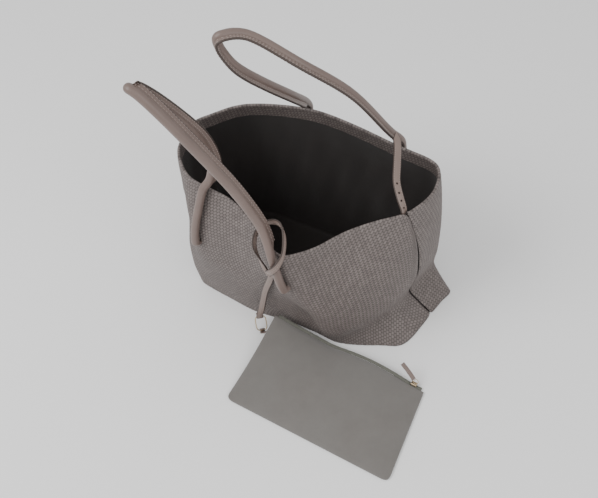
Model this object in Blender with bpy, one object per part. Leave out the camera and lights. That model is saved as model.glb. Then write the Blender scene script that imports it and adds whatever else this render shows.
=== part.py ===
"""Woven tote bag with two rolled leather handles and a small zip pouch on a leather tether.

The origin is the middle of the base on the surface it stands on, +X along the base and
-Y the front. Lengths are in metres.
"""

import math
from collections import namedtuple

import bmesh
import bpy
import numpy as np
from mathutils import Vector

# Driving sizes of the bag
BASE_LENGTH = 0.380
BASE_DEPTH = 0.180
BAG_HEIGHT = 0.270
CLOTH = 0.0025
HEM_DEPTH = 0.028
HEM_THICKNESS = 0.0042
LINING_THICKNESS = 0.0010
BASE_THICKNESS = 0.0030
SIDE_BOW = 0.007
GAP = 0.0003

# Driving sizes of the handles
HANDLE_DIAMETER = 0.0125
HANDLE_SPACING = 0.160
HANDLE_RISE = 0.245
FLANGE_WIDTH = 0.0085
FLANGE_THICKNESS = 0.0036
ROOT_CLEARANCE = 0.0004

# Driving sizes of the closing strap and its counterpart
STRAP_WIDTH = 0.0115
STRAP_THICKNESS = 0.0026
STRAP_HOLE = 0.0034
STUD_DIAMETER = 0.0070
STUD_RISE = 0.0018
TIP_SHARE = 0.35

# Driving sizes of the pouch, its zip and its tether
POUCH_LENGTH = 0.268
POUCH_WIDTH = 0.150
POUCH_PUFF = 0.017
SUEDE = 0.0014
TAPE_WIDTH = 0.0052
TAPE_THICKNESS = 0.0009
TAPE_SPACING = 0.020
TETHER_WIDTH = 0.0105
TETHER_THICKNESS = 0.0024
RING_WIRE = 0.0022
RING_HALF_WIDTH = 0.0085
RING_HALF_LENGTH = 0.0115
RING_STEPS = 20
RING_SQUARENESS = 0.55
WIRE_SIDES = 6
HOOK_LENGTH = 0.009
TAB_WIDTH = 0.0085
TAB_THICKNESS = 0.0016
PULLER_WIDTH = 0.0065
PULLER_THICKNESS = 0.0018
PULLER_WIRE = 0.0011

# Columns of the woven wall, clockwise seen from above. Each row is one vertical line of cloth,
# from its rim through its widest place and the tuck below that to its foot on the floor.
# x is in shares of BASE_LENGTH, y of BASE_DEPTH and z of BAG_HEIGHT.
Column = namedtuple(
    "Column", "name rim_x rim_y rim_z wide_x wide_y wide_z tuck_x tuck_y tuck_z foot_x foot_y"
)
COLUMNS = (
    Column("left_seam", -0.553, 0.08, 1.00, -0.530, 0.08, 0.44, -0.522, 0.08, 0.17, -0.500, 0.08),
    Column("left_fold", -0.536, -0.15, 1.00, -0.508, -0.24, 0.41, -0.510, -0.23, 0.17, -0.505, -0.23),
    Column("left_corner", -0.500, -0.30, 1.00, -0.493, -0.46, 0.39, -0.497, -0.48, 0.17, -0.490, -0.47),
    Column("left_front", -0.400, -0.45, 1.00, -0.385, -0.625, 0.48, -0.400, -0.56, 0.18, -0.395, -0.51),
    Column("front_left_leg", -0.295, -0.48, 1.00, -0.300, -0.65, 0.49, -0.305, -0.58, 0.18, -0.295, -0.52),
    Column("front_near", -0.182, -0.49, 0.985, -0.180, -0.63, 0.46, -0.175, -0.58, 0.18, -0.170, -0.53),
    Column("front_middle", -0.053, -0.60, 0.955, -0.047, -0.60, 0.40, -0.042, -0.52, 0.17, -0.037, -0.48),
    Column("front_right_leg", 0.074, -0.72, 0.925, 0.068, -0.57, 0.35, 0.074, -0.50, 0.16, 0.079, -0.46),
    Column("valley", 0.132, -0.65, 0.92, 0.137, -0.58, 0.24, 0.142, -0.51, 0.12, 0.145, -0.46),
    Column("bulge_start", 0.189, -0.53, 0.935, 0.211, -0.53, 0.125, 0.205, -0.48, 0.065, 0.211, -0.46),
    Column("bulge_front", 0.250, -0.35, 0.97, 0.295, -0.41, 0.185, 0.268, -0.36, 0.10, 0.295, -0.395),
    Column("bulge_side", 0.325, -0.18, 0.99, 0.361, -0.25, 0.26, 0.337, -0.21, 0.14, 0.389, -0.29),
    Column("right_corner", 0.380, -0.08, 1.00, 0.416, -0.07, 0.37, 0.387, -0.01, 0.18, 0.463, -0.19),
    Column("right_seam", 0.413, 0.00, 1.00, 0.445, 0.11, 0.44, 0.392, 0.17, 0.17, 0.492, 0.21),
    Column("right_fold", 0.442, 0.15, 1.00, 0.450, 0.31, 0.41, 0.405, 0.34, 0.18, 0.503, 0.38),
    Column("right_back", 0.450, 0.33, 1.00, 0.442, 0.49, 0.39, 0.426, 0.50, 0.20, 0.513, 0.52),
    Column("back_right", 0.400, 0.56, 1.00, 0.370, 0.60, 0.44, 0.374, 0.58, 0.18, 0.395, 0.53),
    Column("back_right_leg", 0.226, 0.60, 1.00, 0.221, 0.645, 0.44, 0.221, 0.61, 0.18, 0.221, 0.535),
    Column("back_middle", 0.000, 0.655, 1.00, 0.000, 0.68, 0.44, 0.000, 0.63, 0.18, 0.000, 0.535),
    Column("back_left_leg", -0.192, 0.645, 1.00, -0.195, 0.655, 0.44, -0.195, 0.61, 0.18, -0.200, 0.53),
    Column("back_left", -0.421, 0.46, 1.00, -0.421, 0.56, 0.44, -0.432, 0.54, 0.18, -0.447, 0.51),
    Column("left_back", -0.521, 0.20, 1.00, -0.532, 0.29, 0.44, -0.521, 0.31, 0.18, -0.505, 0.33),
)

# Dents pressed into the wall: the place as a column number and a share of BAG_HEIGHT, the
# reach in columns and in shares of BAG_HEIGHT, and the depth in shares of BASE_DEPTH.
Dent = namedtuple("Dent", "name column height reach_columns reach_height depth")
DENTS = (
    Dent("pinch_by_left_leg", 2.3, 0.58, 0.8, 0.15, 0.14),
    Dent("valley_under_right_leg", 7.7, 0.24, 0.8, 0.16, 0.08),
    Dent("slack_by_left_leg", 2.2, 0.78, 0.9, 0.18, 0.07),
    Dent("hollow_by_right_leg", 8.6, 0.74, 0.8, 0.18, 0.03),
    Dent("sag_of_the_back", 17.0, 0.55, 1.4, 0.25, 0.04),
)

# Rows of the wall: the stretch of a column they lie in and the share along that stretch
COLUMN_STEPS = 3
RIM, WIDE, TUCK, FOOT = range(4)
ROWS = (
    (RIM, 0.00),
    (RIM, "hem"),
    (RIM, 0.28),
    (RIM, 0.46),
    (RIM, 0.64),
    (RIM, 0.82),
    (WIDE, 0.00),
    (WIDE, 0.45),
    (TUCK, 0.00),
    (TUCK, 0.50),
    (FOOT, 0.00),
)
ROW_DEPTHS = {"hem": HEM_DEPTH, "lining": HEM_DEPTH + 2 * GAP}

# Seams, as column numbers: the left one, the right one, and the left one again
SEAMS = (0, 13, 22)

# Route of each handle's middle line: the share of the way from its left leg to its right
# leg, and the shares of HANDLE_RISE that it is above the rim and forward of it.
Route = namedtuple("Route", "across forward up")
FRONT_ROUTE = (
    Route(0.06, -0.05, 0.07),
    Route(0.09, -0.08, 0.18),
    Route(0.10, -0.06, 0.33),
    Route(0.11, 0.00, 0.50),
    Route(0.06, 0.10, 0.69),
    Route(0.01, 0.21, 0.87),
    Route(-0.01, 0.28, 0.96),
    Route(0.10, 0.26, 0.94),
    Route(0.28, 0.20, 0.81),
    Route(0.56, 0.09, 0.54),
    Route(0.73, 0.03, 0.37),
    Route(0.88, -0.02, 0.16),
)
BACK_ROUTE = (
    Route(0.93, 0.07, 0.12),
    Route(0.71, 0.23, 0.46),
    Route(0.39, 0.38, 0.69),
    Route(0.02, 0.46, 0.83),
    Route(-0.14, 0.56, 0.86),
    Route(-0.17, 0.57, 0.80),
    Route(-0.08, 0.54, 0.67),
    Route(0.01, 0.41, 0.49),
    Route(0.06, 0.20, 0.24),
)[::-1]

# Legs of the handles: the column each crosses the rim at, and the column and the share of
# the upper stretch where it goes in through the wall.
Leg = namedtuple("Leg", "rim_column root_column root_share")
FRONT_LEGS = (Leg(4, 3.57, 0.74), Leg(7, 7.15, 0.50))
BACK_LEGS = (Leg(19, 19, 0.66), Leg(17, 17, 0.66))
HANDLE_SIDES = 10
ELBOW_STEPS = 3
RING_SPACING = 0.0260
BEND_SPACING = 0.050
STRAP_BEND_SPACING = 0.025
LEG_SLACK = 0.0012
FLANGE_START = 0.004
FLANGE_FADE = 0.024

# Lines of the straps: x in shares of BASE_LENGTH, y of BASE_DEPTH and z of BAG_HEIGHT, and
# the direction that the strap's width lies in.
Stop = namedtuple("Stop", "x y z wide_x wide_y wide_z")
CLOSING_STRAP = (
    Stop(0.3920, 0.012, 0.935, 0.25, 0.97, 0.00),
    Stop(0.3932, 0.012, 1.000, 0.25, 0.97, 0.00),
    Stop(0.3700, 0.045, 1.055, 0.45, 0.85, -0.10),
    Stop(0.3350, 0.130, 1.090, 0.70, 0.60, -0.30),
    Stop(0.3050, 0.260, 1.115, 0.85, 0.40, -0.30),
    Stop(0.2750, 0.390, 1.130, 0.88, 0.35, -0.30),
    Stop(0.2400, 0.510, 1.140, 0.88, 0.35, -0.30),
)
COUNTER_STRAP = (
    Stop(-0.5365, 0.080, 0.985, 0.05, -1.00, 0.00),
    Stop(-0.5310, 0.080, 0.900, 0.05, -1.00, 0.00),
    Stop(-0.5050, 0.075, 0.800, 0.05, -1.00, 0.00),
    Stop(-0.5000, 0.070, 0.700, 0.05, -1.00, 0.00),
)
TETHER = (
    Stop(0.038, -0.742, 0.733, 0.93, 0.00, 0.37),
    Stop(0.024, -0.742, 0.778, 0.90, 0.00, 0.40),
    Stop(0.005, -0.736, 0.844, 0.75, -0.50, 0.35),
    Stop(-0.016, -0.717, 0.926, 0.10, -0.95, 0.30),
    Stop(-0.011, -0.667, 1.007, -0.10, -0.60, 0.75),
    Stop(0.024, -0.608, 1.059, 0.00, -0.15, 1.00),
    Stop(0.068, -0.600, 1.074, 0.00, 0.00, 1.00),
    Stop(0.100, -0.656, 1.041, 0.00, -0.50, 0.85),
    Stop(0.112, -0.733, 0.970, 0.00, -0.75, 0.60),
    Stop(0.100, -0.800, 0.911, -0.50, -0.40, 0.60),
    Stop(0.076, -0.817, 0.863, -0.80, 0.00, 0.50),
    Stop(0.047, -0.775, 0.796, -0.90, 0.00, 0.30),
    Stop(0.033, -0.708, 0.730, -1.00, 0.00, 0.20),
    Stop(0.011, -0.681, 0.630, -1.00, 0.00, 0.20),
    Stop(-0.039, -0.644, 0.452, -0.95, 0.10, -0.30),
    Stop(-0.068, -0.633, 0.311, -0.98, -0.05, -0.15),
    Stop(-0.089, -0.639, 0.193, -0.92, -0.30, -0.05),
)
ZIP_PULLER = (
    Stop(0.5753, -0.5011, 0.0567, 0.45, 0.83, 0.30),
    Stop(0.5434, -0.4694, 0.0767, 0.45, 0.83, 0.30),
    Stop(0.5092, -0.4417, 0.0948, 0.45, 0.83, 0.30),
)

# The ring between the tether and the pouch: its middle and its long and cross directions
Ring = namedtuple("Ring", "name x y z along_x along_y along_z across_x across_y across_z")
TETHER_RING = Ring("tether_ring", -0.095, -0.660, 0.072, -0.49, 0.57, 0.66, 0.77, 0.64, 0.02)
PULLER_RING = Ring("puller_ring", 0.5847, -0.5067, 0.0478, 0.78, -0.21, -0.57, 0.45, 0.83, 0.30)
PULLER_RING_SHARE = 0.30

# Outline of the pouch: x and y of each corner in shares of BASE_LENGTH and BASE_DEPTH
Corner = namedtuple("Corner", "name x y")
POUCH_CORNERS = (
    Corner("mouth_left", -0.047, -0.570),
    Corner("mouth_right", 0.626, -0.533),
    Corner("bottom_right", 0.674, -1.355),
    Corner("bottom_left", -0.045, -1.383),
)
POUCH_LIFT = 0.030
POUCH_CORNER = 0.009
MOUTH_OPEN_FROM = 0.40
MOUTH_GAP = 0.014
SLIDER_PLACE = 0.93
SLIDER = (0.0095, 0.0070, 0.0036)


def clear_scene():
    for item in list(bpy.data.objects):
        bpy.data.objects.remove(item, do_unlink=True)


def material(name, colour, roughness, metallic=0.0):
    made = bpy.data.materials.new(name)
    made.use_nodes = True
    shader = made.node_tree.nodes["Principled BSDF"]
    shader.inputs["Base Color"].default_value = (*colour, 1.0)
    shader.inputs["Roughness"].default_value = roughness
    shader.inputs["Metallic"].default_value = metallic
    return made


def add_object(name, points, faces, finish, sharp_degrees=40):
    """One closed mesh object, with its faces turned outwards."""
    mesh = bpy.data.meshes.new(name)
    mesh.from_pydata([tuple(point) for point in points], [], faces)
    work = bmesh.new()
    work.from_mesh(mesh)
    bmesh.ops.recalc_face_normals(work, faces=work.faces)
    if work.calc_volume(signed=True) < 0:
        bmesh.ops.reverse_faces(work, faces=work.faces)
    work.to_mesh(mesh)
    work.free()
    mesh.materials.append(finish)
    made = bpy.data.objects.new(name, mesh)
    bpy.context.scene.collection.objects.link(made)
    mesh.shade_smooth()
    mesh.set_sharp_from_angle(angle=math.radians(sharp_degrees))
    return made


def spline_at(points, place, closed):
    """A point on the smooth curve through points, at a place counted in points."""
    count = len(points)
    whole = int(math.floor(place))
    part = place - whole

    def pick(index):
        if closed:
            return points[index % count]
        return points[min(max(index, 0), count - 1)]

    before, first, second, after = (pick(whole + step) for step in (-1, 0, 1, 2))
    return 0.5 * (
        2 * first
        + (second - before) * part
        + (2 * before - 5 * first + 4 * second - after) * part**2
        + (3 * first - before - 3 * second + after) * part**3
    )


def column_keys():
    """Rim, wide, tuck and foot points of every column."""
    size = np.array((BASE_LENGTH, BASE_DEPTH, BAG_HEIGHT))
    keys = [
        (
            (c.rim_x, c.rim_y, c.rim_z),
            (c.wide_x, c.wide_y, c.wide_z),
            (c.tuck_x, c.tuck_y, c.tuck_z),
            (c.foot_x, c.foot_y, 0.0),
        )
        for c in COLUMNS
    ]
    return np.array(keys) * size


KEYS = column_keys()


def wall_point(place, row):
    """A point of the wall's outer face, at a place counted in columns, on one of ROWS."""
    stretch, share = row
    rim, wide, tuck, foot = spline_at(KEYS, place, closed=True)
    if share in ROW_DEPTHS:
        share = ROW_DEPTHS[share] / np.linalg.norm(wide - rim)
    start, end = {RIM: (rim, wide), WIDE: (wide, tuck), TUCK: (tuck, foot), FOOT: (foot, foot)}[stretch]
    point = start + (end - start) * share
    outward = np.array((point[0] * (BASE_DEPTH / BASE_LENGTH) ** 2, point[1], 0.0))
    outward /= np.linalg.norm(outward)
    if stretch == RIM:
        point = point + outward * SIDE_BOW * math.sin(math.pi * share)
    for dent in DENTS:
        around = (place - dent.column + len(COLUMNS) / 2) % len(COLUMNS) - len(COLUMNS) / 2
        reach = (around / dent.reach_columns) ** 2
        reach += ((point[2] / BAG_HEIGHT - dent.height) / dent.reach_height) ** 2
        point = point - outward * dent.depth * BASE_DEPTH * math.exp(-2.0 * reach)
    return point



def wall_normal(place, row, step=0.05):
    """The unit normal of the wall's outer face, pointing into the bag."""
    stretch, share = row
    along = wall_point(place + step, row) - wall_point(place - step, row)
    down = wall_point(place, (stretch, share + step)) - wall_point(place, (stretch, share - step))
    inward = np.cross(along, down)
    return inward / np.linalg.norm(inward)


def wall_grid(first, last, rows):
    """Outer points and inward offsets from one column to another, a row for each of rows."""
    count = round((last - first) * COLUMN_STEPS)
    places = [first + (last - first) * step / count for step in range(-1, count + 2)]
    grid = np.array([[wall_point(place, row) for row in rows] for place in places])
    along = grid[2:] - grid[:-2]
    down = np.gradient(grid, axis=1)[1:-1]
    inward = np.cross(along, down)
    inward /= np.linalg.norm(inward, axis=2, keepdims=True)
    foot = inward[:, -1, :2]
    inward[:, -1, :2] = foot / (foot**2).sum(axis=1, keepdims=True)
    inward[:, -1, 2] = 0.0
    return grid[1:-1], inward


def loft(rings, closed_rows, closed_loft=False):
    """Quads between rings of equal length; row joins are left open unless closed_rows."""
    count = len(rings[0])
    points = [point for ring in rings for point in ring]
    faces = []
    last = len(rings) if closed_loft else len(rings) - 1
    for ring in range(last):
        here = ring * count
        there = ((ring + 1) % len(rings)) * count
        for step in range(count if closed_rows else count - 1):
            after = (step + 1) % count
            faces.append((here + step, here + after, there + after, there + step))
    return points, faces


def wall_panel(name, first, last, finish):
    """One woven wall from seam to seam, with its rim turned in as a hem."""
    spacing = np.linalg.norm(wall_point(last + 1, ROWS[0]) - wall_point(last, ROWS[0]))
    seam = GAP / spacing
    outer, inward = wall_grid(first + seam, last - seam, ROWS)
    inner = outer + inward * CLOTH
    hem = (outer + inward * HEM_THICKNESS)[:, :2]
    rings = np.concatenate([outer, inner[:, :0:-1], hem[:, ::-1]], axis=1)
    points, faces = loft(list(rings), closed_rows=True)
    rows = len(ROWS)
    around = rings.shape[1]

    def inner_index(row):
        return 2 * rows - 1 - row

    for base in (0, (len(rings) - 1) * around):
        faces.append([base + step for step in (0, 1, inner_index(1), around - 2, around - 1)])
        for row in range(1, rows - 1):
            corners = (row, row + 1, inner_index(row + 1), inner_index(row))
            faces.append([base + step for step in corners])
    return add_object(name, points, faces, finish)


def foot_ring(height, inset):
    """The ring of the wall's section at a height near its foot, moved in by inset."""
    ring = []
    for step in range(len(COLUMNS) * COLUMN_STEPS):
        place = step / COLUMN_STEPS
        tuck = spline_at(KEYS, place, closed=True)[TUCK]
        row = (TUCK, 1.0 - height / tuck[2])
        point = wall_point(place, row)
        inward = wall_normal(place, row)[:2]
        point[:2] += inward * inset / (inward @ inward)
        point[2] = height
        ring.append(point)
    return ring


def base_panel(finish):
    inset = CLOTH + 2 * GAP
    rings = [foot_ring(0.0, inset), foot_ring(BASE_THICKNESS, inset)]
    points, faces = loft(rings, closed_rows=True)
    count = len(rings[0])
    faces.append(list(range(count)))
    faces.append([count + step for step in range(count)])
    return add_object("base_panel", points, faces, finish)


def lining(finish):
    """A thin cup inside the walls, from just under the hem down to the base panel."""
    outer, inward = wall_grid(SEAMS[0], SEAMS[2], ((RIM, "lining"), *ROWS[2:]))
    outer, inward = outer[:-1, :-1], inward[:-1, :-1]
    first = CLOTH + GAP
    second = first + LINING_THICKNESS
    low = BASE_THICKNESS + GAP
    loops = []
    for offset, floor in ((first, low), (second, low + LINING_THICKNESS)):
        sides = outer + inward * offset
        ring = np.array(foot_ring(floor, offset))
        middle = ring.mean(axis=0)
        discs = [ring * share + middle * (1 - share) for share in (1.0, 0.55)]
        loops.append([sides[:, row] for row in range(sides.shape[1])] + discs)
    rings = loops[0][::-1] + loops[1]
    points, faces = loft(rings, closed_rows=True)
    count = len(rings[0])
    for base, ring in ((0, rings[0]), ((len(rings) - 1) * count, rings[-1])):
        points.append(np.mean(ring, axis=0))
        for step in range(count):
            faces.append((base + step, base + (step + 1) % count, len(points) - 1))
    return add_object("lining", points, faces, finish)


def tangents_of(path):
    """The direction of travel at each point of a path."""
    steps = np.diff(path, axis=0)
    steps /= np.linalg.norm(steps, axis=1, keepdims=True)
    tangents = np.concatenate([steps[:1], steps[1:] + steps[:-1], steps[-1:]])
    return tangents / np.linalg.norm(tangents, axis=1, keepdims=True)


def frames_along(path, start, direction):
    """Side and up vectors along a path, twisted as little as possible from one point."""
    tangents = tangents_of(path)
    sides = np.zeros_like(path)
    side = direction - tangents[start] * (direction @ tangents[start])
    sides[start] = side / np.linalg.norm(side)
    for order in (range(start + 1, len(path)), range(start - 1, -1, -1)):
        side = sides[start]
        for index in order:
            side = side - tangents[index] * (side @ tangents[index])
            side = side / np.linalg.norm(side)
            sides[index] = side
    return sides, np.cross(tangents, sides)


def sweep(name, path, profiles, sides, ups, finish):
    """A solid with the profile of each path point, in its side and up directions."""
    rings = [
        [point + side * a + up * b for a, b in profile]
        for point, side, up, profile in zip(path, sides, ups, profiles)
    ]
    points, faces = loft(rings, closed_rows=True)
    count = len(rings[0])
    faces.append(list(range(count)))
    faces.append([(len(rings) - 1) * count + step for step in range(count)])
    return add_object(name, points, faces, finish)


def smooth_path(points, spacing, bend_spacing):
    """Spaced points on the smooth curve through points, closer together where it bends."""
    points = np.array(points)
    steps = range(12 * (len(points) - 1) + 1)
    fine = np.array([spline_at(points, step / 12, closed=False) for step in steps])
    turns = np.linalg.norm(np.diff(tangents_of(fine), axis=0), axis=1)
    stretches = np.linalg.norm(np.diff(fine, axis=0), axis=1) + bend_spacing * turns
    lengths = np.concatenate([[0.0], np.cumsum(stretches)])
    count = max(2, round(lengths[-1] / spacing))
    wanted = np.linspace(0.0, lengths[-1], count + 1)
    return np.stack([np.interp(wanted, lengths, fine[:, axis]) for axis in range(3)], axis=1)


def rounded_profile(width, thickness, points_per_end=3):
    """A strap's section: flat faces and round edges."""
    radius = thickness / 2
    profile = []
    for centre, turn in ((width / 2 - radius, -90), (radius - width / 2, 90)):
        for step in range(points_per_end):
            angle = math.radians(turn + 180 * step / (points_per_end - 1))
            profile.append((centre + radius * math.cos(angle), radius * math.sin(angle)))
    return profile


def leg_points(leg):
    """A handle leg from its end inside the wall, round an elbow and up outside it to the rim."""
    stand_off = HANDLE_DIAMETER / 2 + ROOT_CLEARANCE
    root_row = (RIM, leg.root_share)
    root = wall_point(leg.root_column, root_row)
    outward = -wall_normal(leg.root_column, root_row)
    rise = wall_point(leg.rim_column, ROWS[0]) - root
    up = rise - outward * (rise @ outward)
    up /= np.linalg.norm(up)
    elbow = [root - outward * (CLOTH - 2 * GAP)]
    for step in range(ELBOW_STEPS + 1):
        angle = math.radians(90 * step / ELBOW_STEPS)
        elbow.append(root + stand_off * (up * (1 - math.cos(angle)) + outward * math.sin(angle)))
    straight = []
    for share in (0.72, 0.48, 0.24, 0.0):
        place = leg.rim_column + (leg.root_column - leg.rim_column) * share
        row = (RIM, leg.root_share * share)
        straight.append(wall_point(place, row) - wall_normal(place, row) * (stand_off + LEG_SLACK))
    return elbow, straight, (root, outward)


def handle(name, legs, route, inside, finish):
    """A rolled handle: two round legs and a loop with a stitched flange facing inside."""
    left_elbow, left, left_root = leg_points(legs[0])
    right_elbow, right, right_root = leg_points(legs[1])
    start, end = left[-1], right[-1]
    loop = [
        start + (end - start) * row.across + np.array((0.0, -row.forward, row.up)) * HANDLE_RISE
        for row in route
    ]
    joined = [left_elbow[-1], *left, *loop, *right[::-1], right_elbow[-1]]
    middle = smooth_path(joined, RING_SPACING, BEND_SPACING)[1:-1]
    path = np.concatenate([left_elbow, middle, right_elbow[::-1]])
    top = int(np.argmax(path[:, 2]))
    sides, ups = frames_along(path, top, np.array(inside))
    radius = HANDLE_DIAMETER / 2
    flat = FLANGE_THICKNESS / 2
    edge = math.asin(flat / radius)
    profiles = []
    for index in range(len(path)):
        rim = start if index < top else end
        grown = min(max((path[index, 2] - rim[2] - FLANGE_START) / FLANGE_FADE, 0.0), 1.0)
        grown = grown * grown * (3 - 2 * grown)
        tip = radius + FLANGE_WIDTH * grown
        half = flat * (0.5 + 0.5 * grown)
        circle = [
            edge + (2 * math.pi - 2 * edge) * step / (HANDLE_SIDES - 1)
            for step in range(HANDLE_SIDES)
        ]
        profile = [(radius * math.cos(angle), radius * math.sin(angle)) for angle in circle]
        profiles.append(profile + [(tip, -half), (tip, half)])
    made = sweep(name, path, profiles, sides, ups, finish)
    return made, (left_root, right_root)


def cut_root_holes(panel, roots):
    """Round holes in a wall where a handle's legs go in."""
    for number, (root, outward) in enumerate(roots):
        bpy.ops.mesh.primitive_cylinder_add(
            vertices=20,
            radius=HANDLE_DIAMETER / 2 + ROOT_CLEARANCE,
            depth=4 * CLOTH,
            location=Vector(root),
            rotation=Vector(outward).to_track_quat("Z", "Y").to_euler(),
        )
        cutter = bpy.context.object
        cutter.name = f"{panel.name}_root_cutter_{number}"
        cutter.hide_render = True
        cutter.display_type = "WIRE"
        cut = panel.modifiers.new(f"root_{number}", "BOOLEAN")
        cut.operation = "DIFFERENCE"
        cut.solver = "EXACT"
        cut.object = cutter


def stop_points(stops):
    """The places of a strap's stops, and the directions of its width there."""
    size = np.array((BASE_LENGTH, BASE_DEPTH, BAG_HEIGHT))
    return [np.array(s[:3]) * size for s in stops], [np.array(s[3:]) for s in stops]


def strap(name, stops, width, thickness, spacing, finish, pointed=False):
    """A flat strap through its stops, with a pointed or a square far end."""
    points, wides = stops
    path = smooth_path(points, spacing, STRAP_BEND_SPACING)
    lengths = stop_lengths(path)
    known = stop_lengths(points)
    places = np.interp(lengths * known[-1] / lengths[-1], known, range(len(points)))
    wide = np.array([spline_at(np.array(wides), place, closed=False) for place in places])
    tangents = tangents_of(path)
    sides = wide - tangents * (wide * tangents).sum(axis=1, keepdims=True)
    sides /= np.linalg.norm(sides, axis=1, keepdims=True)
    widths = np.full(len(path), width)
    if pointed:
        widths[-1] = TIP_SHARE * width
    profiles = [rounded_profile(each, thickness) for each in widths]
    return sweep(name, path, profiles, sides, np.cross(tangents, sides), finish)


def stop_lengths(points):
    """The length of the way along points, at each of them."""
    steps = np.linalg.norm(np.diff(np.array(points), axis=0), axis=1)
    return np.concatenate([[0.0], np.cumsum(steps)])


def ring_link(ring, half_width, half_length, wire, finish):
    """An oval ring of round wire, with its middle and its long and cross directions."""
    middle = np.array((ring.x * BASE_LENGTH, ring.y * BASE_DEPTH, ring.z * BAG_HEIGHT))
    along = np.array(ring[4:7]) / np.linalg.norm(ring[4:7])
    across = np.array(ring[7:10]) - along * (np.array(ring[7:10]) @ along)
    across /= np.linalg.norm(across)
    up = np.cross(along, across)
    angles = np.linspace(0.0, 2 * math.pi, RING_STEPS, endpoint=False)
    shares = np.stack([np.cos(angles), np.sin(angles)], axis=1)
    shares = np.sign(shares) * np.abs(shares) ** RING_SQUARENESS
    centres = middle + shares[:, :1] * half_length * along + shares[:, 1:] * half_width * across
    travels = np.roll(centres, -1, axis=0) - np.roll(centres, 1, axis=0)
    rings = []
    for centre, travel in zip(centres, travels):
        side = np.cross(travel / np.linalg.norm(travel), up)
        turns = np.linspace(0.0, 2 * math.pi, WIRE_SIDES, endpoint=False)
        rings.append([centre + wire / 2 * (side * math.cos(t) + up * math.sin(t)) for t in turns])
    points, faces = loft(rings, closed_rows=True, closed_loft=True)
    made = add_object(ring.name, points, faces, finish)
    return made, (middle, along, across, up)


def hook_round(place, start, wire, thickness):
    """Points of a strap's end that comes from start, goes round a ring's wire and back."""
    end, axis = place
    away = start - end
    away -= axis * (away @ axis)
    away /= np.linalg.norm(away)
    side = np.cross(axis, away)
    radius = (wire + thickness) / 2 + 2 * GAP
    points = [end + away * HOOK_LENGTH + side * radius]
    for angle in np.linspace(0.0, math.pi, 7):
        points.append(end + radius * (side * math.cos(angle) - away * math.sin(angle)))
    points.append(end + away * HOOK_LENGTH * 0.8 - side * radius)
    return points


def pouch_point(across, down):
    """A point of the pouch's outline plane, at shares of its length and its width."""
    size = np.array((BASE_LENGTH, BASE_DEPTH))
    inside = min(across, 1 - across) * POUCH_LENGTH
    if inside < POUCH_CORNER:
        rise = POUCH_CORNER - math.sqrt(POUCH_CORNER**2 - (POUCH_CORNER - inside) ** 2)
        down = down * (1 - rise / POUCH_WIDTH)
    left_top, right_top, right_low, left_low = (np.array((c.x, c.y)) * size for c in POUCH_CORNERS)
    top = left_top + (right_top - left_top) * across
    low = left_low + (right_low - left_low) * across
    return top + (low - top) * down


def pouch_heights(across, down):
    """Height of the under leaf's middle and how far the upper leaf stands above it."""
    lift = POUCH_LIFT * (1 - across) ** 2.2 * (1 - down) ** 1.5
    puff = POUCH_PUFF * max(0.0, math.sin(math.pi * across) * math.sin(math.pi * down)) ** 0.6
    opened = max(0.0, (across - MOUTH_OPEN_FROM) / (SLIDER_PLACE - MOUTH_OPEN_FROM))
    mouth = MOUTH_GAP * max(0.0, math.sin(math.pi * min(opened, 1.0))) * (1 - down) ** 3
    return lift, puff + mouth


def pouch_leaf(name, upper, finish):
    """One suede leaf of the pouch, a sheet that follows the other leaf's edges."""
    acrosses = (0.0, 0.005, 0.015, 0.034, 0.10, 0.20, 0.30, 0.40, 0.50, 0.60, 0.70, 0.80, 0.90, 0.966, 0.985, 0.995, 1.0)
    downs = (0.0, 0.04, 0.12, 0.28, 0.45, 0.62, 0.78, 0.90, 0.97, 1.0)
    sheets = []
    for level in (0.0, SUEDE):
        sheet = []
        for down in downs:
            row = []
            for across in acrosses:
                x, y = pouch_point(across, down)
                lift, rise = pouch_heights(across, down)
                base = lift + GAP
                if upper:
                    base += SUEDE + GAP + rise
                row.append((x, y, base + level))
            sheet.append(row)
        sheets.append(sheet)
    wide = len(acrosses)
    tall = len(downs)
    points = [point for sheet in sheets for row in sheet for point in row]
    faces = []

    def index(level, down, across):
        return (level * tall + down) * wide + across

    for down in range(tall - 1):
        for across in range(wide - 1):
            for level in (0, 1):
                faces.append((
                    index(level, down, across),
                    index(level, down, across + 1),
                    index(level, down + 1, across + 1),
                    index(level, down + 1, across),
                ))
    for down in range(tall - 1):
        for across in (0, wide - 1):
            faces.append((
                index(0, down, across),
                index(0, down + 1, across),
                index(1, down + 1, across),
                index(1, down, across),
            ))
    for across in range(wide - 1):
        for down in (0, tall - 1):
            faces.append((
                index(0, down, across),
                index(0, down, across + 1),
                index(1, down, across + 1),
                index(1, down, across),
            ))
    return add_object(name, points, faces, finish)


def zip_tape(name, upper, finish):
    """A strip of zip tape that stands out from the mouth edge of one pouch leaf."""
    points = []
    for across in np.linspace(0.02, 0.98, 17):
        x, y = pouch_point(across, 0.0)
        lift, rise = pouch_heights(across, 0.0)
        height = lift + GAP + SUEDE / 2
        if upper:
            height += SUEDE + GAP + rise
        points.append(np.array((x, y + TAPE_WIDTH / 2 + GAP, height)))
    wides = [np.array((0.0, 1.0, 0.0))] * len(points)
    return strap(name, (points, wides), TAPE_WIDTH, TAPE_THICKNESS, TAPE_SPACING, finish)


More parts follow.
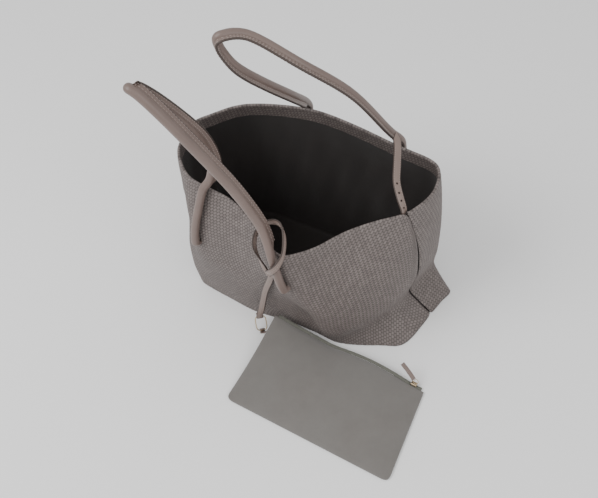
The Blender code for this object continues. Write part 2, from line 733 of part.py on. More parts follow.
def zip_slider(finish):
    """A small metal slider on the upper tape, where the open stretch of the mouth ends."""
    length, width, height = SLIDER
    x, y = pouch_point(SLIDER_PLACE, 0.0)
    lift, rise = pouch_heights(SLIDER_PLACE - 0.65 * length / POUCH_LENGTH, 0.0)
    low = lift + rise + 3 * GAP + 1.5 * SUEDE + TAPE_THICKNESS / 2
    middle = y + 2 * GAP + width / 2
    points = []
    for level, inset in ((0.0, 0.0), (0.6, 0.0), (1.0, 0.0010)):
        half_length = length / 2 - inset
        half_width = width / 2 - inset
        for side_x, side_y in ((-1, -1), (1, -1), (1, 1), (-1, 1)):
            points.append((x + side_x * half_length, middle + side_y * half_width, low + level * height))
    faces = [(0, 1, 2, 3), (8, 9, 10, 11)]
    for base in (0, 4):
        for step in range(4):
            after = (step + 1) % 4
            faces.append((base + step, base + after, base + 4 + after, base + 4 + step))
    return add_object("zip_slider", points, faces, finish)


def stud(finish):
    """The small domed stud near the end of the counter strap."""
    points, wides = stop_points(COUNTER_STRAP)
    middle = points[-1] * 0.75 + points[-2] * 0.25
    facing = np.array((1.0, 0.0, 0.0))
    side = np.array((0.0, 1.0, 0.0))
    up = np.cross(facing, side)
    turns = np.linspace(0.0, 2 * math.pi, 16, endpoint=False)
    rings = []
    for share, rise in ((1.0, 0.0), (1.0, 0.35), (0.78, 0.8), (0.3, 1.0)):
        centre = middle + facing * (STRAP_THICKNESS / 2 + 2 * GAP + rise * STUD_RISE)
        radius = share * STUD_DIAMETER / 2
        rings.append([centre + radius * (side * math.cos(t) + up * math.sin(t)) for t in turns])
    points, faces = loft(rings, closed_rows=True)
    faces.append(list(range(16)))
    faces.append([len(points) - 16 + step for step in range(16)])
    return add_object("strap_stud", points, faces, finish)


def tether_pieces(leather, brass):
    """The tether's loop round the front handle's leg, its tail, the ring and the pouch tab."""
    _, (middle, along, across, up) = ring_link(
        TETHER_RING, RING_HALF_WIDTH, RING_HALF_LENGTH, RING_WIRE, brass
    )
    top = (middle + along * RING_HALF_LENGTH, across)
    low = (middle - along * RING_HALF_LENGTH, across)
    points, wides = stop_points(TETHER)
    hook = hook_round(top, points[-1], RING_WIRE, TETHER_THICKNESS)
    whole = (points + hook, wides + [-across] * len(hook))
    strap("tether", whole, TETHER_WIDTH, TETHER_THICKNESS, 0.020, leather)
    x, y = pouch_point(0.0, 0.20)
    lift, _ = pouch_heights(0.0, 0.20)
    start = np.array((x - 3 * GAP, y, lift + SUEDE))
    hook = hook_round(low, start, RING_WIRE, TAB_THICKNESS)
    wides = [np.array((0.1, 1.0, 0.0))] + [across] * len(hook)
    strap("pouch_tab", ([start] + hook, wides), TAB_WIDTH, TAB_THICKNESS, 0.012, leather)


def zip_pull(leather, brass):
    """The small ring on the slider and the leather puller that stands from it."""
    half = RING_HALF_LENGTH * PULLER_RING_SHARE
    ring_link(PULLER_RING, half, half, PULLER_WIRE, brass)
    puller = stop_points(ZIP_PULLER)
    strap("zip_puller", puller, PULLER_WIDTH, PULLER_THICKNESS, 0.012, leather)


def main():
    clear_scene()
    weave = material("woven_leather", (0.185, 0.150, 0.138), 0.62)
    leather = material("handle_leather", (0.150, 0.108, 0.092), 0.45)
    cloth = material("dark_lining", (0.018, 0.013, 0.011), 0.85)
    suede = material("suede", (0.150, 0.135, 0.125), 0.9)
    tape = material("zip_tape", (0.110, 0.120, 0.090), 0.8)
    brass = material("aged_brass", (0.42, 0.33, 0.20), 0.35, 1.0)

    front = wall_panel("front_panel", SEAMS[0], SEAMS[1], weave)
    back = wall_panel("back_panel", SEAMS[1], SEAMS[2], weave)
    base_panel(weave)
    lining(cloth)
    _, front_roots = handle("front_handle", FRONT_LEGS, FRONT_ROUTE, (0.0, 1.0, 0.0), leather)
    _, back_roots = handle("back_handle", BACK_LEGS, BACK_ROUTE, (0.0, -1.0, 0.0), leather)
    cut_root_holes(front, front_roots)
    cut_root_holes(back, back_roots)
    closing = stop_points(CLOSING_STRAP)
    strap("closing_strap", closing, STRAP_WIDTH, STRAP_THICKNESS, 0.012, leather, pointed=True)
    counter = stop_points(COUNTER_STRAP)
    strap("counter_strap", counter, STRAP_WIDTH, STRAP_THICKNESS, 0.012, leather)
    stud(brass)
    pouch_leaf("pouch_back", False, suede)
    pouch_leaf("pouch_front", True, suede)
    zip_tape("zip_tape_back", False, tape)
    zip_tape("zip_tape_front", True, tape)
    zip_slider(brass)
    tether_pieces(leather, brass)
    zip_pull(leather, brass)


main()
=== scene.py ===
"""Woven leather tote bag with rolled handles and a suede zip pouch on a leather tether."""

import math

import bmesh
import bpy
import numpy as np
from mathutils import Matrix, Vector
from mathutils.bvhtree import BVHTree


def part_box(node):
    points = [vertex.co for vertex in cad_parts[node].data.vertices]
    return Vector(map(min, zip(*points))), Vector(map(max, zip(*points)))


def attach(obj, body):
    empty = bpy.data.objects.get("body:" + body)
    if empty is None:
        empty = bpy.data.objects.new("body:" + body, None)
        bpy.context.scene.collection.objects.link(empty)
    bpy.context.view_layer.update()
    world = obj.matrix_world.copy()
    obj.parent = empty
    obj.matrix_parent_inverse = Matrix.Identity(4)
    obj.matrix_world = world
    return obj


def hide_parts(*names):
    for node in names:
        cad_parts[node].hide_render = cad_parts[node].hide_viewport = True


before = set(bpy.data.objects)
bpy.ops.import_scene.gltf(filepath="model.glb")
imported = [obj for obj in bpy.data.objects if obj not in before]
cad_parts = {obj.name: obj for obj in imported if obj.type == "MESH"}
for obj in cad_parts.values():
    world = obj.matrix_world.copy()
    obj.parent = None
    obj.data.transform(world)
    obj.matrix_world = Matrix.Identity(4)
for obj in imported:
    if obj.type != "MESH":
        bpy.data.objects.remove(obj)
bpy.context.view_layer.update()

# Camera and studio
# A plain pale floor under a white sky, with one large soft light from the front left and a
# weaker one from the right. The camera looks down on the bag from its front right.
VIEW_TARGET = Vector((0.008, -0.052, 0.162))
VIEW_DISTANCE = 1.1728
VIEW_TURN = math.radians(38)
VIEW_RISE = math.radians(52)
VIEW_ROLL = math.radians(-8)
VIEW_LENS = 48.16

back = Vector((
    math.sin(VIEW_TURN) * math.cos(VIEW_RISE),
    -math.cos(VIEW_TURN) * math.cos(VIEW_RISE),
    math.sin(VIEW_RISE),
))
camera_data = bpy.data.cameras.new("camera")
camera_data.lens = VIEW_LENS
camera_data.sensor_width = 36
camera_data.clip_start = 0.05
camera_data.clip_end = 30
camera = bpy.data.objects.new("camera", camera_data)
camera.location = VIEW_TARGET + back * VIEW_DISTANCE
level = Vector((math.cos(VIEW_TURN), math.sin(VIEW_TURN), 0))
upright = back.cross(level)
right = level * math.cos(VIEW_ROLL) + upright * math.sin(VIEW_ROLL)
camera.rotation_mode = "QUATERNION"
camera.rotation_quaternion = Matrix((right, back.cross(right), back)).transposed().to_quaternion()
bpy.context.scene.collection.objects.link(camera)
bpy.context.scene.camera = camera

world = bpy.data.worlds.new("studio")
world.use_nodes = True
world.node_tree.nodes["Background"].inputs["Color"].default_value = (1, 1, 1, 1)
world.node_tree.nodes["Background"].inputs["Strength"].default_value = 0.85
bpy.context.scene.world = world

for name, place, size, power in (
    ("key", (-0.9, -1.3, 1.9), 1.3, 34),
    ("side", (1.5, -0.6, 1.3), 1.2, 10),
):
    light_data = bpy.data.lights.new(name, "AREA")
    light_data.size = size
    light_data.energy = power
    light = bpy.data.objects.new(name, light_data)
    light.location = place
    light.rotation_mode = "QUATERNION"
    light.rotation_quaternion = (VIEW_TARGET - light.location).to_track_quat("-Z", "Y")
    bpy.context.scene.collection.objects.link(light)

bpy.ops.mesh.primitive_plane_add(size=8, location=(0, 0, -0.0005))
floor = bpy.context.object
floor.name = "floor"
floor_finish = bpy.data.materials.new("pale_floor")
floor_finish.use_nodes = True
floor_finish.node_tree.nodes["Principled BSDF"].inputs["Base Color"].default_value = (0.9, 0.9, 0.9, 1)
floor_finish.node_tree.nodes["Principled BSDF"].inputs["Roughness"].default_value = 0.9
floor.data.materials.append(floor_finish)

# Woven walls
# Two sheets of thin leather strips plaited on the diagonal, soft enough to slump. The top of
# each is folded in over a narrow hem and stitched, and they meet in a sunk seam at each end.
GRID_STEP = 0.0013
WALL_TURNS = 70
STRIP_WIDTH = 0.0038
STRIP_CELL = 0.0078
STRIP_ANGLE = math.radians(57)
STRIP_RELIEF = 0.00055
HEM_DEPTH = 0.026
HEM_THICKNESS = 0.0042
SEAM_SINK = 0.0018
SEAM_REACH = 0.004
SCAN_STEP = math.radians(3.0)
SCAN_REACH = 0.6
SCAN_HEIGHT = 0.6
WALL_SMOOTHING = 60
FOOT_INSET = 0.0024


def smoothed(grid, turns, axis):
    """Evens out a grid of points along one axis, with its ends kept."""
    for _ in range(turns):
        pads = [(0, 0)] * grid.ndim
        pads[axis] = (1, 1)
        wide = np.pad(grid, pads, mode="reflect", reflect_type="odd")
        take = [slice(None)] * grid.ndim
        sums = 0
        for start, weight in ((0, 0.25), (1, 0.5), (2, 0.25)):
            take[axis] = slice(start, start + grid.shape[axis])
            sums = sums + weight * wide[tuple(take)]
        grid = sums
    return grid


def wall_face(node, middle):
    """The outer face of a wall node as a grid of points, from its rim to its foot."""
    tree = BVHTree.FromObject(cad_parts[node], bpy.context.evaluated_depsgraph_get())

    def hit(angle, height):
        outward = Vector((math.cos(angle), math.sin(angle), 0))
        origin = Vector((middle[0], middle[1], height)) + outward * SCAN_REACH
        return tree.ray_cast(origin, -outward, SCAN_REACH)[0]

    def last_true(test, good, bad, turns=14):
        for _ in range(turns):
            half = (good + bad) / 2
            if test(half):
                good = half
            else:
                bad = half
        return good

    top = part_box(node)[1].z
    turns = np.arange(0, 2 * math.pi, SCAN_STEP)
    hits = np.array([hit(angle, SCAN_HEIGHT * top) is not None for angle in turns])
    starts = np.flatnonzero(hits & ~np.roll(hits, 1))
    ends = np.flatnonzero(hits & ~np.roll(hits, -1))
    first, last = turns[starts[0]], turns[ends[0]]
    if last < first:
        last += 2 * math.pi
    spread = np.linspace(first, last, WALL_TURNS)
    heights = [
        last_true(lambda z: hit(angle, z) is not None, 0.8 * top, top * 1.01)
        for angle in spread
    ]

    rows = []
    low, high = first, last
    for share in np.linspace(1.0, 0.0, round(top / GRID_STEP)):

        def height_at(angle):
            return max(0.0006, share * (np.interp(angle, spread, heights) - 0.0005))

        def meets(angle):
            return hit(angle, height_at(angle)) is not None

        low = last_true(meets, low + SCAN_STEP, low - 2 * SCAN_STEP)
        high = last_true(meets, high - SCAN_STEP, high + 2 * SCAN_STEP)
        row = []
        for angle in np.linspace(low, high, 5 * WALL_TURNS):
            found = hit(angle, height_at(angle))
            if found is not None:
                row.append(found)
        row = np.array(row)
        along = np.concatenate([[0], np.cumsum(np.linalg.norm(np.diff(row, axis=0), axis=1))])
        rows.append((row, along))
    columns = round(max(along[-1] for _, along in rows) / GRID_STEP)
    grid = []
    for row, along in rows:
        places = np.linspace(0, along[-1], columns)
        grid.append(np.stack([np.interp(places, along, row[:, axis]) for axis in range(3)], axis=1))
    grid = smoothed(np.array(grid), WALL_SMOOTHING, 1)
    return smoothed(grid, WALL_SMOOTHING, 0)


def outward_of(grid):
    """Unit normals of a wall grid, away from the inside of the bag."""
    normals = np.cross(np.gradient(grid, axis=0), np.gradient(grid, axis=1))
    return normals / np.linalg.norm(normals, axis=2, keepdims=True)


def strip_height(across, down):
    """Height of the plaited strips, from 0 in the gaps to 1, at places on the sheet in metres."""
    a = (across * math.sin(STRIP_ANGLE) + down * math.cos(STRIP_ANGLE)) / STRIP_WIDTH
    b = (across * math.cos(STRIP_ANGLE) - down * math.sin(STRIP_ANGLE)) / STRIP_CELL + 0.5 * np.floor(a)
    a = a - np.floor(a)
    b = b - np.floor(b)
    return np.sqrt(4 * a * (1 - a)) * (1 - np.abs(2 * b - 1) ** 3)


def grid_mesh(name, grid, across, down, closed=False):
    """A mesh of quads over a grid of points, with across and down in metres as its map."""
    rows, columns = grid.shape[:2]
    index = np.arange(rows * columns).reshape(rows, columns)
    after = np.roll(index, -1, axis=1) if closed else index[:, 1:]
    before = index if closed else index[:, :-1]
    quads = np.stack([before[:-1], before[1:], after[1:], after[:-1]], axis=-1).reshape(-1, 4)
    mesh = bpy.data.meshes.new(name)
    mesh.from_pydata(grid.reshape(-1, 3).tolist(), [], quads.tolist())
    layer = mesh.uv_layers.new(name="sheet")
    places = np.stack([across, down], axis=-1).reshape(-1, 2)
    loops = np.empty(len(mesh.loops), np.int32)
    mesh.loops.foreach_get("vertex_index", loops)
    layer.data.foreach_set("uv", places[loops].astype(np.float32).ravel())
    mesh.shade_smooth()
    made = bpy.data.objects.new(name, mesh)
    bpy.context.scene.collection.objects.link(made)
    return made


def socket_group(name, inputs, outputs):
    """An empty shader node group with these named sockets."""
    group = bpy.data.node_groups.new(name, "ShaderNodeTree")
    for label, kind, value in inputs:
        made = group.interface.new_socket(label, in_out="INPUT", socket_type=kind)
        if value is not None:
            made.default_value = value
    for label, kind in outputs:
        group.interface.new_socket(label, in_out="OUTPUT", socket_type=kind)
    return group, group.nodes.new("NodeGroupInput"), group.nodes.new("NodeGroupOutput")


def maths(tree, operation, first, second=None, third=None):
    """One Math node fed with sockets or numbers, and its result."""
    node = tree.nodes.new("ShaderNodeMath")
    node.operation = operation
    for socket, value in zip(node.inputs, (first, second, third)):
        if value is None:
            continue
        if isinstance(value, (int, float)):
            socket.default_value = value
        else:
            tree.links.new(value, socket)
    return node.outputs[0]


def plait_group():
    """Plaited strips: their height and a tone of its own for each strip's visible stretch."""
    group, given, put = socket_group(
        "plaited_strips",
        (
            ("Place", "NodeSocketVector", None),
            ("Strip Width", "NodeSocketFloat", STRIP_WIDTH),
            ("Cell Length", "NodeSocketFloat", STRIP_CELL),
        ),
        (("Height", "NodeSocketFloat"), ("Tone", "NodeSocketFloat")),
    )
    split = group.nodes.new("ShaderNodeSeparateXYZ")
    group.links.new(given.outputs["Place"], split.inputs[0])
    x, y = split.outputs[0], split.outputs[1]
    sine, cosine = math.sin(STRIP_ANGLE), math.cos(STRIP_ANGLE)
    across = maths(group, "ADD", maths(group, "MULTIPLY", x, sine), maths(group, "MULTIPLY", y, cosine))
    along = maths(group, "SUBTRACT", maths(group, "MULTIPLY", x, cosine), maths(group, "MULTIPLY", y, sine))
    a = maths(group, "DIVIDE", across, given.outputs["Strip Width"])
    number = maths(group, "FLOOR", a)
    b = maths(group, "DIVIDE", along, given.outputs["Cell Length"])
    b = maths(group, "MULTIPLY_ADD", number, 0.5, b)
    cell = maths(group, "FLOOR", b)
    a = maths(group, "SUBTRACT", a, number)
    b = maths(group, "SUBTRACT", b, cell)
    crown = maths(group, "MULTIPLY", maths(group, "MULTIPLY", a, 4), maths(group, "SUBTRACT", 1, a))
    crown = maths(group, "SQRT", maths(group, "MAXIMUM", crown, 0))
    ends = maths(group, "ABSOLUTE", maths(group, "MULTIPLY_ADD", b, 2, -1))
    ends = maths(group, "SUBTRACT", 1, maths(group, "POWER", ends, 3))
    group.links.new(maths(group, "MULTIPLY", crown, ends), put.inputs["Height"])
    pair = group.nodes.new("ShaderNodeCombineXYZ")
    group.links.new(number, pair.inputs[0])
    group.links.new(cell, pair.inputs[1])
    noise = group.nodes.new("ShaderNodeTexWhiteNoise")
    noise.noise_dimensions = "2D"
    group.links.new(pair.outputs[0], noise.inputs["Vector"])
    group.links.new(noise.outputs["Value"], put.inputs["Tone"])
    return group


def blank_material(name, roughness, metallic=0.0):
    """A material with its Principled shader, tree and shader returned with it."""
    made = bpy.data.materials.new(name)
    made.use_nodes = True
    shader = made.node_tree.nodes["Principled BSDF"]
    shader.inputs["Roughness"].default_value = roughness
    shader.inputs["Metallic"].default_value = metallic
    return made, made.node_tree, shader


def mixed(tree, share, first, second, blend="MIX"):
    """A colour between two, or one laid on the other, by a share from 0 to 1."""
    node = tree.nodes.new("ShaderNodeMix")
    node.data_type = "RGBA"
    node.blend_type = blend
    for socket, value in ((node.inputs[0], share), (node.inputs[6], first), (node.inputs[7], second)):
        if isinstance(value, tuple):
            socket.default_value = (*value, 1)
        elif isinstance(value, (int, float)):
            socket.default_value = value
        else:
            tree.links.new(value, socket)
    return node.outputs[2]


def noise_of(tree, scale, detail=3.0, roughness=0.55):
    """Noise over the object's own space."""
    place = tree.nodes.new("ShaderNodeTexCoord")
    node = tree.nodes.new("ShaderNodeTexNoise")
    node.inputs["Scale"].default_value = scale
    node.inputs["Detail"].default_value = detail
    node.inputs["Roughness"].default_value = roughness
    tree.links.new(place.outputs["Object"], node.inputs["Vector"])
    return node.outputs["Fac"]


def bumped(tree, shader, height, distance, strength=1.0):
    """Bumps a shader's surface with a height."""
    node = tree.nodes.new("ShaderNodeBump")
    node.inputs["Distance"].default_value = distance
    node.inputs["Strength"].default_value = strength
    tree.links.new(height, node.inputs["Height"])
    tree.links.new(node.outputs["Normal"], shader.inputs["Normal"])


def woven_leather():
    """Matt taupe strips with slightly different tones, and painted shade that darkens each strip as it dips
    into the gaps between strips.
    """
    made, tree, shader = blank_material("woven_leather", 0.62)
    place = tree.nodes.new("ShaderNodeUVMap")
    place.uv_map = "sheet"
    plait = tree.nodes.new("ShaderNodeGroup")
    plait.node_tree = plait_group()
    tree.links.new(place.outputs[0], plait.inputs["Place"])
    strips = mixed(tree, plait.outputs["Tone"], (0.150, 0.121, 0.113), (0.245, 0.205, 0.192))
    strips = mixed(tree, noise_of(tree, 14), strips, (0.150, 0.128, 0.120))
    # Painted shade: the colour falls towards the near-black gap colour as the strip height drops, and is
    # darkest in the gaps between strips.
    gap_shade_share = maths(tree, "POWER", plait.outputs["Height"], 0.7)
    colour = mixed(tree, gap_shade_share, (0.030, 0.023, 0.021), strips)
    tree.links.new(colour, shader.inputs["Base Color"])
    bumped(tree, shader, plait.outputs["Height"], STRIP_RELIEF, 0.6)
    return made


def woven_wall(name, node, grid, finish):
    """One wall with its strips in relief, its rolled rim and the facing of its hem."""
    outward = outward_of(grid)
    rows, columns = grid.shape[:2]
    widths = np.linalg.norm(np.diff(grid, axis=1), axis=2)
    lengths = np.linalg.norm(np.diff(grid, axis=0), axis=2)
    across = np.broadcast_to(np.concatenate([[0], np.cumsum(widths.mean(axis=0))]), (rows, columns))
    down = np.concatenate([np.zeros((1, columns)), np.cumsum(lengths, axis=0)])
    from_seam = np.minimum(across, across[:, -1:] - across)
    sunk = np.clip(1 - from_seam / SEAM_REACH, 0, 1) ** 2
    relief = STRIP_RELIEF * strip_height(across, down) * np.clip((down - 0.004) / 0.003, 0, 1)
    skin = grid + outward * (relief - STRIP_RELIEF * 0.5 - SEAM_SINK * sunk)[..., None]

    radius = HEM_THICKNESS / 2
    start = int(np.ceil(radius / GRID_STEP))
    facing_rows = round(HEM_DEPTH / GRID_STEP)
    facing = (grid - outward * (HEM_THICKNESS + SEAM_SINK * 0.5 * sunk[..., None]))[facing_rows:start:-3]
    middle = grid[0] - outward[0] * radius - np.array((0, 0, radius))
    fold = np.array([
        middle + radius * (outward[0] * -math.cos(turn) + np.array((0, 0, 1)) * math.sin(turn))
        for turn in np.radians((0, 30, 60, 90, 120, 150))
    ])
    fold -= outward[0] * (SEAM_SINK * sunk[0])[:, None]
    foot = (grid[-1] - outward[-1] * FOOT_INSET)[None]
    foot[..., 2] = 0.0003
    whole = np.concatenate([facing, fold, skin[start:], foot])
    whole[..., 2] = np.maximum(whole[..., 2], 0.0002)
    inner = np.concatenate([-down[facing_rows:start:-3], -down[:6] * 0, down[start:], down[-1:]])
    made = grid_mesh(name, whole, np.broadcast_to(across[:1], inner.shape), inner)
    made.data.materials.append(finish)
    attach(made, "root")
    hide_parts(node)


corners = [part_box(node) for node in ("front_panel", "back_panel")]
lowest = Vector(map(min, corners[0][0], corners[1][0]))
highest = Vector(map(max, corners[0][1], corners[1][1]))
wall_middle = (lowest + highest) / 2
woven = woven_leather()
wall_grids = {}
for wall_name, wall_node in (("woven_front", "front_panel"), ("woven_back", "back_panel")):
    wall_grids[wall_node] = wall_face(wall_node, wall_middle)
    woven_wall(wall_name, wall_node, wall_grids[wall_node], woven)

# Lining
# A thin dark cloth bag sewn in under the hem. It lies loosely against the walls in soft folds
# and covers the base.
LINING_STAND_OFF = 0.0041
LINING_TOP = 0.0245
LINING_FOLD = 0.0028
LINING_FLOOR = 0.0047
LINING_STEP = 3
LINING_DISCS = (0.995, 0.93, 0.7, 0.45, 0.2, 0.001)


def loop_round(pieces):
    """Grids of the two walls side by side, as one grid that closes on itself."""
    return np.concatenate([piece[:, ::LINING_STEP] for piece in pieces], axis=1)


def dark_cloth():
    """Near-black fine cloth with a faint thread pattern."""
    made, tree, shader = blank_material("dark_cloth", 0.75)
    place = tree.nodes.new("ShaderNodeUVMap")
    place.uv_map = "sheet"
    thread = tree.nodes.new("ShaderNodeTexWave")
    thread.inputs["Scale"].default_value = 420
    tree.links.new(place.outputs[0], thread.inputs["Vector"])
    colour = mixed(tree, noise_of(tree, 9), (0.0085, 0.0062, 0.0055), (0.0210, 0.0150, 0.0130))
    tree.links.new(colour, shader.inputs["Base Color"])
    shader.inputs["Sheen Weight"].default_value = 0.15
    bumped(tree, shader, thread.outputs["Fac"], 0.0001, 0.5)
    return made


top_row = round(LINING_TOP / GRID_STEP)
cup = loop_round([wall_grids[node][top_row::LINING_STEP] for node in wall_grids])
cup_out = loop_round([outward_of(wall_grids[node])[top_row::LINING_STEP] for node in wall_grids])
turn = np.linspace(0, 2 * math.pi, cup.shape[1], endpoint=False)[None, :]
drop = np.linspace(0, 1, cup.shape[0])[:, None]
folds = 0.5 + 0.28 * np.sin(17 * turn + 5 * drop + 1.3) + 0.22 * np.sin(29 * turn - 9 * drop)
folds = folds * np.sin(math.pi * np.clip(drop * 1.05, 0, 1)) ** 0.7
cup = cup - cup_out * (LINING_STAND_OFF + LINING_FOLD * folds)[..., None]
cup = cup[cup[..., 2].min(axis=1) > LINING_FLOOR + 0.002]
edge = cup[-1].copy()
edge[:, 2] = LINING_FLOOR
rug = np.array([edge * share + edge.mean(axis=0) * (1 - share) for share in LINING_DISCS])
cup = np.concatenate([cup, rug])
cup_across = np.broadcast_to(turn * 0.16, cup.shape[:2])
cup_down = np.broadcast_to(np.arange(cup.shape[0])[:, None] * GRID_STEP * LINING_STEP, cup.shape[:2])
lining = grid_mesh("lining_cloth", cup, cup_across, cup_down, closed=True)
lining.data.materials.append(dark_cloth())
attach(lining, "root")
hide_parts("lining")

# Base
# A flat bottom of the same plaited leather, sewn in between the feet of the walls.
BASE_INSET = 0.003
feet = np.concatenate([
    wall_grids[node][-1] - outward_of(wall_grids[node])[-1] * BASE_INSET for node in wall_grids
])
feet[:, 2] = 0.0004
sole = np.array([feet * share + feet.mean(axis=0) * (1 - share) for share in np.linspace(1, 0.001, 9)])
base = grid_mesh("woven_base", sole, sole[..., 0], sole[..., 1], closed=True)
base.data.materials.append(woven)
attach(base, "root")
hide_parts("base_panel")

# Rolled handles
# Each is a strip of leather rolled round a cord, with its edges stitched together as a flat
# double-stitched flange round the loop. The legs are plain rolls that go in through the wall.
HANDLE_RING = 12
HANDLE_SIDES = 30
FLANGE_HALF = 0.0017
STITCH_PITCH = 0.0046
STITCH_LENGTH = 0.0030
STITCH_RADIUS = 0.00042
STITCH_ROWS = (0.0022, 0.0062)
STITCHED_FROM = 0.0055
RING_FINENESS = 7


def rings_of(node, count):
    """The rings of count points that a long CAD piece is made of, in order from end to end."""
    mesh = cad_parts[node].data
    raw = np.array([vertex.co for vertex in mesh.vertices])
    points, index = np.unique(np.round(raw, 6), axis=0, return_inverse=True)
    triangles = index.reshape(-1)[np.array([face.vertices for face in mesh.polygons])]
    near = [set() for _ in points]
    for a, b, c in triangles:
        near[a] |= {b, c}
        near[b] |= {a, c}
        near[c] |= {a, b}

    def rings_from(start):
        seen = set(start)
        found = [list(start)]
        while True:
            following = {n for point in found[-1] for n in near[point]} - seen
            if not following:
                return found
            if len(following) != count:
                return []
            seen |= following
            found.append(sorted(following))

    corners = points[triangles]
    normals = np.cross(corners[:, 1] - corners[:, 0], corners[:, 2] - corners[:, 0])
    normals /= np.linalg.norm(normals, axis=1, keepdims=True) + 1e-15
    beside = {}
    for number, triangle in enumerate(triangles):
        for a, b in zip(triangle, np.roll(triangle, 1)):
            beside.setdefault((min(a, b), max(a, b)), []).append(number)
    for first in range(len(triangles)):
        patch = {first}
        edge = [first]
        while edge:
            triangle = triangles[edge[-1]]
            edge.pop()
            for a, b in zip(triangle, np.roll(triangle, 1)):
                for other in beside[(min(a, b), max(a, b))]:
                    if other not in patch and normals[first] @ normals[other] > 0.9999:
                        patch.add(other)
                        edge.append(other)
        cap = sorted(set(triangles[sorted(patch)].reshape(-1).tolist()))
        if len(cap) == count:
            found = rings_from(cap)
            if len(found) * count == len(points):
                return [points[ring] for ring in found]
    raise ValueError(node + " isn't made of rings")


def directions_of(path):
    """The direction of travel at each point of a path."""
    steps = np.diff(path, axis=0)
    steps /= np.linalg.norm(steps, axis=1, keepdims=True)
    both = np.concatenate([steps[:1], steps[1:] + steps[:-1], steps[-1:]])
    return both / np.linalg.norm(both, axis=1, keepdims=True)


def finer(rows, fineness):
    """Rows of numbers with smooth steps put in between them."""
    rows = np.asarray(rows, float)
    wide = np.concatenate([rows[:1], rows, rows[-1:]])
    part = np.linspace(0, 1, fineness, endpoint=False)[:, None]
    made = []
    for before, first, second, after in zip(wide, wide[1:], wide[2:], wide[3:]):
        made.append(
            0.5
            * (
                2 * first
                + (second - before) * part
                + (2 * before - 5 * first + 4 * second - after) * part**2
                + (3 * first - before - 3 * second + after) * part**3
            )
        )
    return np.concatenate([*made, rows[-1:]])


def squared_to(vectors, directions):
    """Unit vectors square to the directions of travel."""
    made = vectors - directions * (vectors * directions).sum(axis=1, keepdims=True)
    return made / np.linalg.norm(made, axis=1, keepdims=True)


def tube_mesh(name, rings, finishes, finish_of=None):
    """A closed mesh through rings of points, with its second material on the chosen columns."""
    rings = np.asarray(rings)
    count, sides = rings.shape[:2]
    index = np.arange(count * sides).reshape(count, sides)
    after = np.roll(index, -1, axis=1)
    quads = np.stack([index[:-1], after[:-1], after[1:], index[1:]], axis=-1).reshape(-1, 4).tolist()
    mesh = bpy.data.meshes.new(name)
    ends = [index[0][::-1].tolist(), index[-1].tolist()]
    mesh.from_pydata(rings.reshape(-1, 3).tolist(), [], quads + ends)
    for finish in finishes:
        mesh.materials.append(finish)
    if finish_of is not None:
        picks = np.concatenate([np.tile(finish_of, count - 1), [0, 0]])
        mesh.polygons.foreach_set("material_index", picks.astype(np.int32))
    mesh.shade_smooth()
    mesh.set_sharp_from_angle(angle=math.radians(50))
    made = bpy.data.objects.new(name, mesh)
    bpy.context.scene.collection.objects.link(made)
    return made


def stitches_mesh(name, places, along, up, finish, length=STITCH_LENGTH, radius=STITCH_RADIUS):
    """Short round threads laid along a surface, joined into one mesh."""
    side = np.cross(along, up)
    points = []
    faces = []
    for place, a, s, u in zip(places, along, side, up):
        start = len(points)
        for share, swell in ((-0.5, 0.35), (-0.25, 1.0), (0.25, 1.0), (0.5, 0.35)):
            lift = radius * (1.0 - 4 * share**2) * 0.6
            for turn in np.radians((0, 60, 120, 180, 240, 300)):
                offset = s * math.cos(turn) + u * math.sin(turn)
                points.append(place + a * share * length + u * lift + offset * radius * swell)
        for ring in range(3):
            for step in range(6):
                first, second = start + 6 * ring + step, start + 6 * ring + (step + 1) % 6
                faces.append((first, second, second + 6, first + 6))
        faces.append(tuple(range(start + 5, start - 1, -1)))
        faces.append(tuple(range(start + 18, start + 24)))
    mesh = bpy.data.meshes.new(name)
    mesh.from_pydata(points, [], faces)
    mesh.materials.append(finish)
    mesh.shade_smooth()
    made = bpy.data.objects.new(name, mesh)
    bpy.context.scene.collection.objects.link(made)
    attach(made, "root")
    return made


def picked_along(path, pitch):
    """Places evenly along a path, as numbers of its points."""
    lengths = np.concatenate([[0], np.cumsum(np.linalg.norm(np.diff(path, axis=0), axis=1))])
    return np.interp(np.arange(pitch / 2, lengths[-1], pitch), lengths, np.arange(len(path)))


def rows_at(rows, places):
    """Rows of numbers read between their places."""
    whole = np.clip(places.astype(int), 0, len(rows) - 2)
    part = (places - whole)[:, None]
    return rows[whole] * (1 - part) + rows[whole + 1] * part


def smooth_leather(name, light, dark, roughness):
    """Smooth leather with a fine pebbled grain and slow changes of tone."""
    made, tree, shader = blank_material(name, roughness)
    colour = mixed(tree, noise_of(tree, 24), dark, light)
    tree.links.new(colour, shader.inputs["Base Color"])
    shader.inputs["Coat Weight"].default_value = 0.08
    shader.inputs["Coat Roughness"].default_value = 0.3
    bumped(tree, shader, noise_of(tree, 900, 2), 0.00025, 0.35)
    return made


rolled_leather = smooth_leather("rolled_leather", (0.190, 0.140, 0.122), (0.140, 0.100, 0.086), 0.46)
painted_edge, _, edge_shader = blank_material("painted_edge", 0.5)
edge_shader.inputs["Base Color"].default_value = (0.050, 0.034, 0.028, 1)
thread, _, thread_shader = blank_material("stitching_thread", 0.7)
thread_shader.inputs["Base Color"].default_value = (0.33, 0.27, 0.245, 1)

